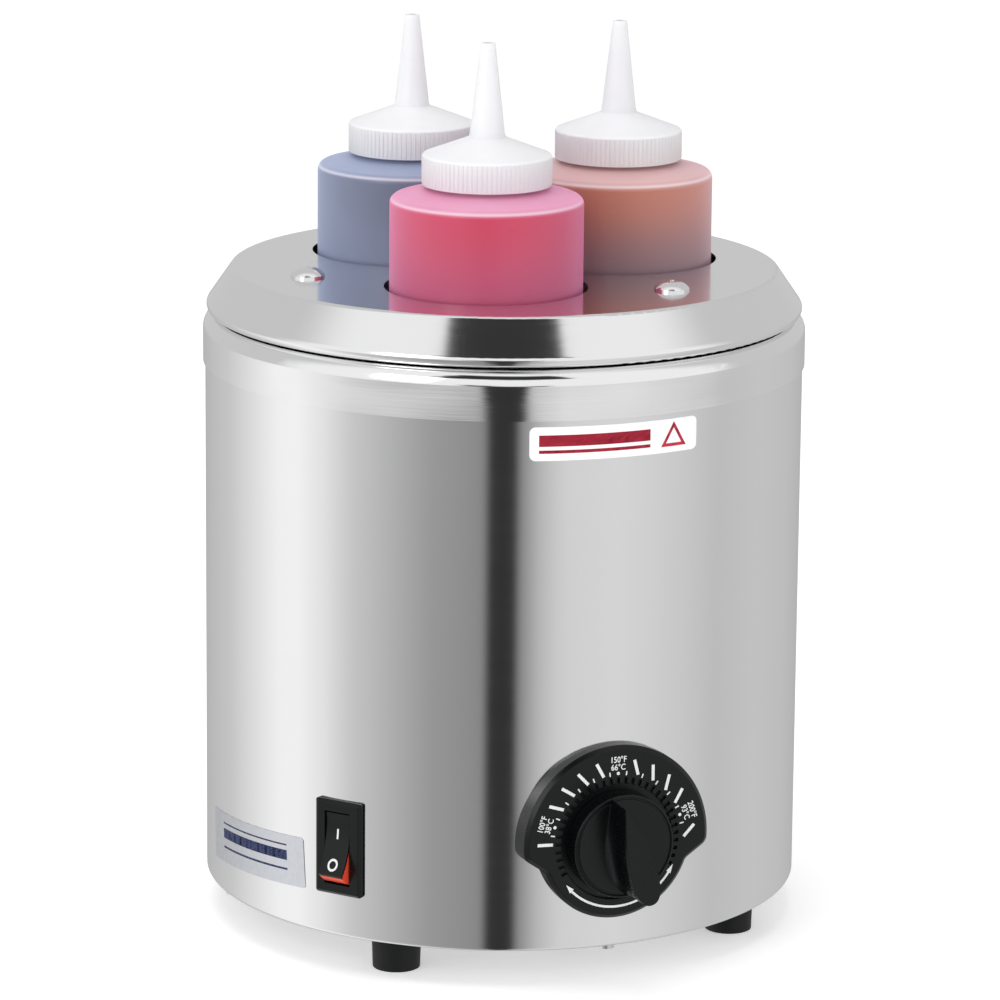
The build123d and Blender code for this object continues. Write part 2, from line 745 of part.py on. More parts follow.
wire_colours = {"line_wire": black, "load_wire": black, "element_wire": (0.7, 0.1, 0.1),
                "neutral_wire": white, "ground_wire": (0.1, 0.5, 0.2)}


for name, points in wires.items():
    radii = corner_radii(points)
    print(name, "bend radii", [round(r, 1) for r in radii])
    with BuildPart() as wire:
        with BuildLine() as route:
            FilletPolyline(*points, radius=radii)
        with BuildSketch(Plane(origin=points[0], z_dir=route.line % 0)):
            Circle(wire_radius)
        sweep(path=route.line)
    save(wire.part, name, wire_colours[name])

# ---------------------------------------------------------------- feet and base fasteners
foot_recess = (4.8, 6.0)
for name, bearing in foot_bearings.items():
    x, y = on_ring(foot_ring, bearing)
    with BuildPart() as foot:
        with BuildSketch(axis_plane(x, y)):
            with BuildLine():
                FilletPolyline(
                    (foot_recess[0], 0), (foot_base_radius, 0), (foot_radius, pan_bottom),
                    (foot_screw_radius + hole_gap, pan_bottom),
                    (foot_screw_radius + hole_gap, foot_recess[1]),
                    (foot_recess[0], foot_recess[1]),
                    radius=[1.6, 0.2, 0.1, 0.1, 0.1, 0.1], close=True,
                )
            make_face()
        revolve(axis=Axis((x, y, 0), (0, 0, 1)))
    save(foot.part, f"foot_{name}", black)

foot_places = [on_ring(foot_ring, bearing) for bearing in foot_bearings.values()]
nut_height = 3.2
with BuildPart() as foot_screws:
    with BuildSketch(Plane.XY.offset(foot_recess[1] - 2.6)):
        with Locations(*foot_places):
            Circle(4.0)
            Circle(1.2, mode=Mode.SUBTRACT)
    extrude(amount=2.6)
    with BuildSketch(Plane.XY.offset(foot_recess[1] - 1.3)):
        with Locations(*foot_places):
            Circle(foot_screw_radius)
    extrude(amount=pan_top + nut_height + 3 - foot_recess[1] + 1.3)
save(foot_screws.part, "foot_screws", steel)

with BuildPart() as foot_nuts:
    with BuildSketch(Plane.XY.offset(pan_top)):
        with Locations(*foot_places):
            RegularPolygon(radius=3.5, side_count=6, major_radius=False)
            Circle(foot_screw_radius, mode=Mode.SUBTRACT)
    extrude(amount=nut_height)
save(foot_nuts.part, "foot_nuts", steel)

base_places = [on_ring(shroud_inner - shroud_flange / 2, bearing) for bearing in base_screw_bearings]
with BuildPart() as base_screws:
    with BuildSketch(Plane.XY.offset(foot_height - 1.5)):
        with Locations(*base_places):
            Circle(2.7)
    extrude(amount=1.5)
    with BuildSketch(Plane.XY.offset(foot_height)):
        with Locations(*base_places):
            Circle(base_screw_radius)
    extrude(amount=6)
save(base_screws.part, "base_screws", steel)

# ---------------------------------------------------------------- lid and hanging rack
bottle_places = {name: on_ring(bottle_ring, bearing) for name, bearing in bottle_bearings.items()}
rod_places = [on_ring(rod_ring, bearing) for bearing in rod_bearings]
with BuildPart() as lid_shell:
    with BuildSketch(Plane.XZ):
        with BuildLine():
            FilletPolyline(
                (0, lid_height), (rim_radius - lid_top_inset, lid_height),
                (rim_radius + lid_overhang, lid_bottom),
                (rim_radius + lid_overhang - lid_flange, lid_bottom),
                radius=[1.8, lid_edge_round],
            )
            offset(amount=lid_sheet, side=Side.RIGHT)
        make_face()
    revolve(axis=Axis.Z)
    with BuildSketch(Plane.XY.offset(lid_underside - 1)):
        with Locations(*bottle_places.values()):
            Circle(bottle_radius + bottle_hole_gap)
        with Locations(*rod_places):
            Circle(bolt_radius)
    extrude(amount=lid_sheet + 2, mode=Mode.SUBTRACT)
save(lid_shell.part, "lid_shell", steel)

ring_radius = bath_radius - lid_ring_gap
with BuildPart() as lid_ring:
    with BuildSketch(Plane.XZ):
        with BuildLine():
            FilletPolyline(
                (ring_radius - 8, lid_underside), (ring_radius, lid_underside),
                (ring_radius, rim_height - lid_ring_depth), radius=1.5,
            )
            offset(amount=sheet, side=Side.RIGHT)
        make_face()
    revolve(axis=Axis.Z)
save(lid_ring.part, "lid_ring", steel)

stud_drop = 7.0
bolt_depth = 14.0
with BuildPart() as rack_rods:
    with BuildSketch(Plane.XY.offset(shelf_height)):
        with Locations(*rod_places):
            Circle(rod_radius)
    extrude(amount=lid_underside - shelf_height)
    with BuildSketch(Plane.XY.offset(shelf_height - stud_drop)):
        with Locations(*rod_places):
            Circle(bolt_radius)
    extrude(amount=stud_drop)
    with BuildSketch(Plane.XY.offset(lid_underside)):
        with Locations(*rod_places):
            Circle(bolt_radius)
    extrude(amount=-bolt_depth - 1, mode=Mode.SUBTRACT)
save(rack_rods.part, "rack_rods", steel)

head_wall = 0.7
pip = (0.9, 0.4)
with BuildPart() as rack_bolts:
    for x, y in rod_places:
        with BuildSketch(axis_plane(x, y)):
            with BuildLine():
                top = lid_height + dome_head_height
                Polyline((0, top), (0, lid_height - bolt_depth), (bolt_radius, lid_height - bolt_depth),
                         (bolt_radius, lid_height), (dome_head_radius, lid_height),
                         (dome_head_radius, lid_height + head_wall))
                ThreePointArc((dome_head_radius, lid_height + head_wall),
                              (0.62 * dome_head_radius, lid_height + 0.74 * dome_head_height),
                              (pip[0], top - pip[1]))
                Polyline((pip[0], top - pip[1]), (0.7 * pip[0], top), (0, top))
            make_face()
        revolve(axis=Axis((x, y, 0), (0, 0, 1)))
save(rack_bolts.part, "rack_bolts", steel)

shelf_sheet = 1.0
shelf_rim = 7.0
middle_hole = 6.0
drain_hole = 4.0
drain_ring = 20.0
drain_count = 8
with BuildPart() as bottle_shelf:
    with BuildSketch(Plane.XZ):
        with BuildLine():
            FilletPolyline(
                (0, shelf_height - shelf_sheet), (shelf_radius, shelf_height - shelf_sheet),
                (shelf_radius, shelf_height + shelf_rim), radius=2.5,
            )
            offset(amount=shelf_sheet, side=Side.LEFT)
        make_face()
    revolve(axis=Axis.Z)
    with BuildSketch(Plane.XY.offset(shelf_height - shelf_sheet)):
        Circle(middle_hole)
        with Locations(*rod_places):
            Circle(bolt_radius)
        for place in bottle_places.values():
            with Locations(place):
                Circle(drain_hole)
                with PolarLocations(drain_ring, drain_count):
                    Circle(drain_hole)
    extrude(amount=shelf_sheet, mode=Mode.SUBTRACT)
save(bottle_shelf.part, "bottle_shelf", steel)

shelf_nut_height = 5.0
shelf_nut_flat = 4.0    # from the axis to a flat
with BuildPart() as shelf_nuts:
    with BuildSketch(Plane.XY.offset(shelf_height - shelf_sheet - shelf_nut_height)):
        with Locations(*rod_places):
            RegularPolygon(radius=shelf_nut_flat, side_count=6, major_radius=False)
            Circle(bolt_radius, mode=Mode.SUBTRACT)
    extrude(amount=shelf_nut_height)
save(shelf_nuts.part, "shelf_nuts", steel)

# ---------------------------------------------------------------- bottles, sauces and caps
thread_start = neck_bottom + 2.0
thread_bury = 0.2


def thread(x, y, radius, outward, turn):
    """Screw-thread ridge on a wall of this radius, starting at a bearing of turn degrees."""
    centre = Axis((x, y, 0), (0, 0, 1))
    path = Helix(pitch=thread_pitch, height=thread_pitch * thread_turns, radius=radius,
                 center=(x, y, bottle_bottom + thread_start), mode=Mode.PRIVATE).rotate(centre, turn)
    start = path @ 0
    across = Vector(start.X - x, start.Y - y, 0).normalized() * (1 if outward else -1)
    root = Plane(origin=start - across * thread_bury, x_dir=across, z_dir=path % 0)
    with BuildPart() as ridge:
        with BuildSketch(root):
            Trapezoid(thread_width, thread_height + thread_bury, 70,
                      align=(Align.CENTER, Align.MIN), rotation=-90)
        sweep(path=path, is_frenet=True)
    return ridge.part


cone_slope = (cap_cone_top - cap_edge) / (cap_radius - nozzle_base_radius)
cone_drop = cap_wall * 1.1
for name, (x, y) in bottle_places.items():
    centre_line = Axis((x, y, 0), (0, 0, 1))
    neck_thread = thread(x, y, neck_radius, outward=True, turn=0)
    cap_thread = thread(x, y, cap_inner, outward=False, turn=180)
    with BuildPart() as bottle:
        with BuildSketch(axis_plane(x, y, bottle_bottom)):
            with BuildLine():
                FilletPolyline(
                    (0, 0), (bottle_radius, 0),
                    (bottle_radius, bottle_shoulder + 0.8), (neck_radius, neck_bottom),
                    (neck_radius, neck_top),
                    radius=[bottle_foot_round, 3.0, 1.6],
                )
                offset(amount=bottle_wall, side=Side.LEFT)
            make_face()
        revolve(axis=centre_line)
        add(neck_thread)
    save(bottle.part, f"bottle_{name}", white)

    with BuildPart() as sauce:
        with BuildSketch(axis_plane(x, y, bottle_bottom)):
            with BuildLine():
                FilletPolyline(
                    (0, bottle_wall), (bottle_radius - bottle_wall, bottle_wall),
                    (bottle_radius - bottle_wall, sauce_level[name]), (0, sauce_level[name]),
                    radius=[bottle_foot_round - bottle_wall, 0.3],
                )
                Line((0, sauce_level[name]), (0, bottle_wall))
            make_face()
        revolve(axis=centre_line)
    save(sauce.part, f"sauce_{name}", {"front": (0.8, 0.1, 0.2), "right": (0.75, 0.4, 0.2),
                                       "left": (0.3, 0.3, 0.4)}[name])

    with BuildPart() as seal:
        with BuildSketch(Plane.XY.offset(bottle_bottom + neck_top + body_gap)):
            with Locations((x, y)):
                Circle(cap_inner - 0.5)
                Circle(neck_radius - 4, mode=Mode.SUBTRACT)
        extrude(amount=0.7)
    save(seal.part, f"cap_seal_{name}", (0.8, 0.8, 0.75))

    with BuildPart() as cap:
        with BuildSketch(axis_plane(x, y, bottle_bottom)):
            with BuildLine():
                inner_edge = cap_edge + cone_slope * cap_wall - cone_drop
                bore = nozzle_base_radius - nozzle_wall
                Polyline(
                    (cap_inner, cap_bottom), (cap_radius, cap_bottom), (cap_radius, cap_edge),
                    (nozzle_base_radius, cap_cone_top), (nozzle_tip_radius, nozzle_top),
                    (nozzle_tip_radius - nozzle_wall, nozzle_top),
                    (bore, inner_edge + cone_slope * (cap_inner - bore)),
                    (cap_inner, inner_edge), close=True,
                )
            make_face()
        revolve(axis=centre_line)
        rounded = cap.edges().filter_by(GeomType.CIRCLE).filter_by(
            lambda e: e.radius > nozzle_tip_radius + 1 and e.arc_center.Z > bottle_bottom + cap_edge - 0.1)
        fillet([e for e in rounded if abs(e.radius - cap_radius) < 0.1], radius=0.9)
        fillet([e for e in cap.edges().filter_by(GeomType.CIRCLE)
                if abs(e.radius - nozzle_base_radius) < 0.05], radius=1.0)
        add(cap_thread)
    save(cap.part, f"cap_{name}", white)

# ---------------------------------------------------------------- labels on the shroud
plates = {
    "front_label": (0.0, label_height, 0.0, label_size, 2.0),
    "side_badge": (badge_bearing, badge_height, badge_tilt, badge_size, 1.0),
}
for name, (bearing, height, tilt, (wide, tall), corner) in plates.items():
    chord = 2 * shroud_radius * sin(wide / 2 / shroud_radius)
    with BuildPart() as plate:
        with BuildSketch(Plane.XY.offset(height - tall)):
            Circle(shroud_radius + label_thickness)
            Circle(shroud_radius, mode=Mode.SUBTRACT)
        extrude(amount=2 * tall)
        with BuildSketch(wall_plane(bearing, height, bath_radius * 0.7)):
            RectangleRounded(chord, tall, corner, rotation=tilt)
        extrude(amount=rim_radius, mode=Mode.INTERSECT)
    save(plate.part, name, white)

print(len(parts), "nodes")
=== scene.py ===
import json
import math

import bmesh
import bpy
from mathutils import Matrix, Vector
from mathutils.bvhtree import BVHTree


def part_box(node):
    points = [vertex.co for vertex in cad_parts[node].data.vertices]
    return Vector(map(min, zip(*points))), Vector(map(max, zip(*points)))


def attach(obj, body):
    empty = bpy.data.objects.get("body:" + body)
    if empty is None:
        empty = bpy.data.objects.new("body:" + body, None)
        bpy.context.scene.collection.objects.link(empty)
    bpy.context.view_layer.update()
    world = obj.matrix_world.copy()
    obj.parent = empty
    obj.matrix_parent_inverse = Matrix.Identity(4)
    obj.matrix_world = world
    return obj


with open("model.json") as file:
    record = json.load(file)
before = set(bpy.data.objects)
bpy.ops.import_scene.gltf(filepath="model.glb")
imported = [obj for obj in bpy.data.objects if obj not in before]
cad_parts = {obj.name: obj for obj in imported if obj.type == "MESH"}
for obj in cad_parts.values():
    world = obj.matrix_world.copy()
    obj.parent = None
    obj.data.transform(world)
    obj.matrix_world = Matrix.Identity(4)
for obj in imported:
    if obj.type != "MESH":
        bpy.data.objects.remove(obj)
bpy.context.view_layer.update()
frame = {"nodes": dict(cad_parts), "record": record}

nodes = frame["nodes"]
scene = bpy.context.scene
print("frame loaded:", len(nodes), "nodes")


# shader expressions

class Value:
    # wraps one output socket, so that arithmetic on it adds Math nodes
    def __init__(self, tree, socket):
        self.tree = tree
        self.socket = socket

    def calc(self, operation, *others):
        node = self.tree.nodes.new("ShaderNodeMath")
        node.operation = operation
        for slotIndex, item in enumerate((self, *others)):
            plug(self.tree, node.inputs[slotIndex], item)
        return Value(self.tree, node.outputs[0])

    def __add__(self, other):
        return self.calc("ADD", other)

    def __sub__(self, other):
        return self.calc("SUBTRACT", other)

    def __mul__(self, other):
        return self.calc("MULTIPLY", other)

    def __pow__(self, other):
        return self.calc("POWER", other)

    def __radd__(self, other):
        return self.calc("ADD", other)

    def __rmul__(self, other):
        return self.calc("MULTIPLY", other)

    def __rsub__(self, other):
        return self.calc("MULTIPLY", -1.0).calc("ADD", other)


def plug(tree, socket, item):
    if isinstance(item, Value):
        tree.links.new(item.socket, socket)
    elif item is not None:
        socket.default_value = item


class Graph:
    # a node tree, with one way to add any node to it
    def __init__(self, tree):
        self.tree = tree

    def node(self, kind, settings=None, outlet=0, **inputs):
        made = self.tree.nodes.new(kind)
        for key, setting in (settings or {}).items():
            if key == "stops":
                fillRamp(made.color_ramp, setting)
            else:
                setattr(made, key, setting)
        for key, item in inputs.items():
            socket = made.inputs[int(key[1:])] if key[1:].isdigit() else made.inputs[key.replace("_", " ")]
            plug(self.tree, socket, item)
        return Value(self.tree, made.outputs[outlet])

    def join(self, x=0.0, y=0.0, z=0.0):
        return self.node("ShaderNodeCombineXYZ", X=x, Y=y, Z=z)


class Finish(Graph):
    # one material, or the world
    def __init__(self, name, owner=None):
        self.material = owner or bpy.data.materials.new(name)
        self.material.use_nodes = True
        super().__init__(self.material.node_tree)
        self.tree.nodes.clear()

    def place(self):
        return self.node("ShaderNodeTexCoord", outlet="Object")

    def split(self, vector):
        made = self.tree.nodes.new("ShaderNodeSeparateXYZ")
        plug(self.tree, made.inputs[0], vector)
        return [Value(self.tree, out) for out in made.outputs]

    def noise(self, vector, scale, detail=3.0, rough=0.55):
        return self.node("ShaderNodeTexNoise", Vector=vector, Scale=scale, Detail=detail, Roughness=rough)

    def ramp(self, factor, *stops):
        return self.node("ShaderNodeValToRGB", {"stops": stops}, Fac=factor)

    def band(self, value, low, high, toLow=0.0, toHigh=1.0):
        return self.node("ShaderNodeMapRange", {"interpolation_type": "SMOOTHSTEP"},
                         Value=value, From_Min=low, From_Max=high, To_Min=toLow, To_Max=toHigh)

    def mixColour(self, factor, first, second):
        return self.node("ShaderNodeMix", {"data_type": "RGBA"}, outlet=2, i0=factor, i6=first, i7=second)

    def bump(self, height, over=None):
        return self.node("ShaderNodeBump", Height=height, Strength=1.0, Distance=1.0, Normal=over)

    def principled(self, normal=None, **inputs):
        shader = self.node("ShaderNodeBsdfPrincipled", **inputs)
        if normal is not None:
            plug(self.tree, shader.socket.node.inputs["Normal"], normal)
        return shader

    def finish(self, shader, output="ShaderNodeOutputMaterial"):
        out = self.tree.nodes.new(output)
        self.tree.links.new(shader.socket, out.inputs["Surface"])
        return self.material


def fillRamp(ramp, stops):
    while len(ramp.elements) > 1:
        ramp.elements.remove(ramp.elements[-1])
    for index, (position, colour) in enumerate(stops):
        stop = ramp.elements[0] if index == 0 else ramp.elements.new(position)
        stop.position = position
        stop.color = grey(colour) if isinstance(colour, (int, float)) else colour


def grey(level):
    return (level, level, level, 1.0)


def tone(hexCode):
    # sRGB hex to the linear colour that the sockets take
    parts = [int(hexCode[i:i + 2], 16) / 255 for i in (0, 2, 4)]
    linear = [c / 12.92 if c <= 0.04045 else ((c + 0.055) / 1.055) ** 2.4 for c in parts]
    return (*linear, 1.0)


# camera, light and floor
camera = {"bearing": -21.5, "reach": 1.7944, "height": 0.5703, "pitch": 12.4585, "roll": 0.5096,
          "focal": 185.06, "sensor": 36.0, "shiftX": -0.0032, "shiftY": -0.0708, "clip": 30}


def setCamera(c):
    bearing, pitch, roll = (math.radians(c[k]) for k in ("bearing", "pitch", "roll"))
    outward = Vector((math.sin(bearing), -math.cos(bearing), 0))
    forward = -outward * math.cos(pitch) + Vector((0, 0, -math.sin(pitch)))
    right = Vector((math.cos(bearing), math.sin(bearing), 0))
    up = right.cross(forward)
    across = right * math.cos(roll) + up * math.sin(roll)
    over = up * math.cos(roll) - right * math.sin(roll)
    data = bpy.data.cameras.new("studioCamera")
    data.lens = c["focal"]
    data.sensor_width = c["sensor"]
    data.shift_x = c["shiftX"]
    data.shift_y = c["shiftY"]
    data.clip_end = c["clip"]
    body = bpy.data.objects.new("studioCamera", data)
    scene.collection.objects.link(body)
    turn = Matrix((across, over, -forward)).transposed().to_4x4()
    body.matrix_world = Matrix.Translation(outward * c["reach"] + Vector((0, 0, c["height"]))) @ turn
    scene.camera = body


setCamera(camera)
scene.view_settings.view_transform = "Standard"

# brightness of the studio wall by bearing from the lens side, in half turns
wallStops = [(-1.0, 0.42), (-0.89, 0.50), (-0.72, 0.62), (-0.62, 0.80), (-0.53, 0.98), (-0.47, 0.99),
             (-0.40, 0.84), (-0.33, 0.63), (-0.24, 0.48), (-0.15, 0.345), (-0.06, 0.29), (-0.02, 0.27),
             (0.025, 0.27), (0.045, 0.30), (0.08, 0.52), (0.13, 0.70), (0.25, 0.74), (0.36, 0.68),
             (0.50, 0.56), (0.64, 0.60), (0.78, 0.56), (1.0, 0.42)]
# how bright the studio is above the walls, behind the object and before it, and where the walls end
above = {"behind": 0.60, "before": 0.92, "turnover": 0.2, "wallTop": -0.19, "start": -0.04}
# the dark gap between the two front softboxes, and how it widens with height
gap = {"low": -0.175, "high": 0.30, "narrow": 0.033, "wide": 0.175, "blur": 0.012, "sideEnd": 0.05,
       "coneStart": 0.66, "coneEnd": 0.93, "fade": 0.03, "dark": 0.03}


def setStudio():
    world = bpy.data.worlds.new("studio")
    scene.world = world
    f = Finish("studio", world)
    turned = f.node("ShaderNodeVectorRotate", {"rotation_type": "Z_AXIS"},
                    Vector=f.node("ShaderNodeTexCoord", outlet="Generated"),
                    Angle=math.radians(-camera["bearing"]))
    x, y, z = f.split(turned)
    bearing = x.calc("ARCTAN2", y * -1.0) * (1 / math.pi)
    wall = f.ramp(bearing * 0.5 + 0.5, *[((turn + 1) / 2, level) for turn, level in wallStops])
    front = f.band(y, -above["turnover"], above["turnover"], 1.0, 0.0)
    ceiling = f.mixColour(front, grey(above["behind"]), grey(above["before"]))
    wall = f.mixColour(f.band(z, above["wallTop"], above["start"]), wall, ceiling)
    half = f.node("ShaderNodeMapRange", Value=z, From_Min=gap["low"], From_Max=gap["high"],
                  To_Min=gap["narrow"], To_Max=gap["wide"])
    inside = half - bearing.calc("ABSOLUTE")
    pastSide, inCone, pastCone = (f.band(z, gap[k] - gap["fade"], gap[k] + gap["fade"])
                                  for k in ("sideEnd", "coneStart", "coneEnd"))
    hole = f.band(inside, -gap["blur"], gap["blur"]) * (1 - pastSide + inCone * (1 - pastCone))
    wall = f.mixColour(hole, wall, grey(gap["dark"]))
    seen = f.node("ShaderNodeLightPath", outlet="Is Camera Ray")
    background = f.node("ShaderNodeBackground", Color=f.mixColour(seen, wall, grey(1.0)), Strength=1.0)
    f.finish(background, "ShaderNodeOutputWorld")


# power in watts, size and place in metres, and whether polished steel mirrors it
softboxes = {
    "overheadSoftbox": {"power": 10.5, "size": (1.6, 1.2), "place": (-0.2, 0.1, 1.9), "mirrored": False},
    "leftSoftbox": {"power": 5, "size": (0.7, 1.2), "place": (-1.5, -0.9, 0.9), "mirrored": True},
    "frontFill": {"power": 4, "size": (1.4, 1.0), "place": (-0.7, -1.9, 0.9), "mirrored": False},
}
lightTarget = Vector((0, 0, 0.15))


def softLight(name, box):
    data = bpy.data.lights.new(name, "AREA")
    data.energy = box["power"]
    data.shape = "RECTANGLE"
    data.size, data.size_y = box["size"]
    lamp = bpy.data.objects.new(name, data)
    lamp.location = box["place"]
    lamp.rotation_euler = (lightTarget - Vector(box["place"])).to_track_quat("-Z", "Y").to_euler()
    lamp.visible_glossy = box["mirrored"]
    scene.collection.objects.link(lamp)


paleFloor = {"half": 6.0, "speck": 40.0, "dark": 0.90, "pale": 0.93, "rough": 0.7, "glow": 0.35}


def setFloor(c):
    f = Finish("paleFloor")
    speck = f.noise(f.place(), c["speck"])
    shader = f.principled(Base_Color=f.mixColour(speck, grey(c["dark"]), grey(c["pale"])),
                          Roughness=c["rough"], Emission_Color=grey(1.0), Emission_Strength=c["glow"])
    mesh = bpy.data.meshes.new("floor")
    corners = [(x * c["half"], y * c["half"], 0) for x, y in ((-1, -1), (1, -1), (1, 1), (-1, 1))]
    mesh.from_pydata(corners, [], [(0, 1, 2, 3)])
    floor = bpy.data.objects.new("floor", mesh)
    scene.collection.objects.link(floor)
    mesh.materials.append(f.finish(shader))
    floor.visible_glossy = False


setStudio()
for name, box in softboxes.items():
    softLight(name, box)
setFloor(paleFloor)
print("studio set")


# metals

brushing = {"turns": 0.9, "detail": 4.0, "rough": 0.7, "depth": 0.00002}
clouding = {"turns": 0.5, "rise": 9.0, "detail": 2.0, "shade": 0.97, "cool": 1.005, "polish": 0.03}
waviness = {"turns": 2.4, "rise": 34.0, "detail": 1.0}


def brushedSteel(name, base=0.80, rough=0.20, streak=0.05, lined=260.0, taper=0.0, wave=0.0):
    # streaks run round the body and are fine up it; a taper or a wave is the press work's
    f = Finish(name)
    x, y, z = f.split(f.place())
    reach = (x * x + y * y) ** 0.5
    turn = x.calc("ARCTAN2", y * -1.0)
    lines = f.noise(f.join(turn * brushing["turns"], z * lined, reach * lined), 1.0, brushing["detail"],
                    brushing["rough"])
    clouds = f.noise(f.join(turn * clouding["turns"], z * clouding["rise"], reach * clouding["rise"]), 1.0,
                     clouding["detail"])
    tint = f.mixColour(clouds, grey(base * clouding["shade"]), (base, base, base * clouding["cool"], 1))
    polish = lines * streak * 2 + (rough - streak) + clouds * clouding["polish"]
    height = lines * brushing["depth"] - z * taper
    if wave:
        ripple = f.join(turn * waviness["turns"], z * waviness["rise"])
        height = height + f.noise(ripple, 1.0, waviness["detail"]) * wave
    return f.finish(f.principled(Base_Color=tint, Metallic=1.0, Roughness=polish, normal=f.bump(height)))


def grainedMetal(name, dark, light, rough, spread, scale, detail):
    f = Finish(name)
    grain = f.noise(f.place(), scale, detail)
    return f.finish(f.principled(Base_Color=f.mixColour(grain, dark, light), Metallic=1.0,
                                 Roughness=grain * spread + rough))


def plainSteel(name, base, rough, shade=0.94):
    return grainedMetal(name, grey(base * shade), grey(base), rough, spread=0.12, scale=900.0, detail=3.0)


def metalOf(name, dark, light, rough):
    return grainedMetal(name, tone(dark), tone(light), rough, spread=0.2, scale=500.0, detail=4.0)


# plastics, rubber and sauce

moulded = {"detail": 2.0, "broad": 60.0, "fineRough": 0.08, "broadRough": 0.04}


def mouldedPlastic(name, dark, light, rough, grain=1800.0, pitted=0.00001, rounded=0.0, **fixed):
    f = Finish(name)
    soft = f.node("ShaderNodeBevel", {"samples": 4}, Radius=rounded) if rounded else None
    fine = f.noise(f.place(), grain, moulded["detail"])
    broad = f.noise(f.place(), moulded["broad"], moulded["detail"])
    tint = f.mixColour(broad, tone(dark), tone(light))
    shine = fine * moulded["fineRough"] + rough + broad * moulded["broadRough"]
    pits = f.bump(fine * pitted, soft)
    return f.finish(f.principled(Base_Color=tint, Roughness=shine, normal=pits, **fixed))


def milkyPlastic(f, tint, c, **fixed):
    grain = f.noise(f.place(), c["grain"], c["detail"])
    return f.finish(f.principled(Base_Color=tint, Roughness=grain * c["spread"] + c["rough"],
                                 Subsurface_Weight=c["depth"], Subsurface_Radius=c["radius"],
                                 Subsurface_Scale=1.0, normal=f.bump(grain * c["pitted"]), **fixed))


# heights in metres from the floor; the film is what clings to the wall above the sauce, and the pale band at
# the shoulder is a painted highlight
bottleLook = {"cloud": 35.0, "detail": 2.0, "fromLow": 0.030, "toDeep": 0.001, "drift": 0.004,
              "filmCloud": 0.5, "ragged": 0.0006, "under": 0.0006, "over": 0.0014,
              "line": (0.2640, 0.2648, 0.2656), "lineTint": "F2E6EC", "lineStrength": 0.55,
              "grain": 1500.0, "spread": 0.06, "rough": 0.30, "pitted": 0.00001,
              "depth": 0.25, "radius": (0.006, 0.004, 0.004), "sheenRough": 0.75}


def filledBottle(name, deep, low, empty, level, edge):
    # squeeze bottle of milky plastic: the sauce shows through the wall up to its level
    f = Finish(name)
    c = bottleLook
    z = f.split(f.place())[2]
    cloud = f.noise(f.place(), c["cloud"], c["detail"])
    # the sauce's colour changes with height: the low colour lower down, blending to the deep colour near its
    # level
    toDeep = f.band(z + cloud * c["drift"], level - c["fromLow"], level + c["toDeep"])
    sauce = f.mixColour(toDeep, tone(low), tone(deep))
    film = f.mixColour(cloud * c["filmCloud"], tone(empty), tone(deep))
    emptied = f.band(z + cloud * c["ragged"], level - c["under"], level + c["over"])
    # painted highlight: a pale band along the rounded shoulder edge, mixed into the wall's colour
    foot, crest, top = c["line"]
    line = f.band(z, foot, crest) * f.band(z, crest, top, 1.0, 0.0)
    tint = f.mixColour(line * c["lineStrength"], f.mixColour(emptied, sauce, film), tone(c["lineTint"]))
    return milkyPlastic(f, tint, c, Sheen_Weight=1.0, Sheen_Roughness=c["sheenRough"], Sheen_Tint=tone(edge))


capLook = {"cloud": 90.0, "detail": 2.0, "foot": 0.2695, "clear": 0.2830, "cloudShare": 0.5, "glow": 0.3,
           "dark": "EFEFF3", "pale": "F6F6F9", "grain": 1500.0, "spread": 0.06, "rough": 0.32,
           "pitted": 0.00001, "depth": 0.35, "radius": (0.006, 0.006, 0.006)}


def milkyCap(name, glow):
    # cap and spout: white plastic that takes a little of the sauce's colour near its foot
    f = Finish(name)
    c = capLook
    z = f.split(f.place())[2]
    cloud = f.noise(f.place(), c["cloud"], c["detail"])
    foot = f.band(z, c["foot"], c["clear"], 1.0, 0.0) * (cloud * c["cloudShare"] + (1 - c["cloudShare"]))
    white = f.mixColour(cloud, tone(c["dark"]), tone(c["pale"]))
    return milkyPlastic(f, f.mixColour(foot * c["glow"], white, tone(glow)), c)


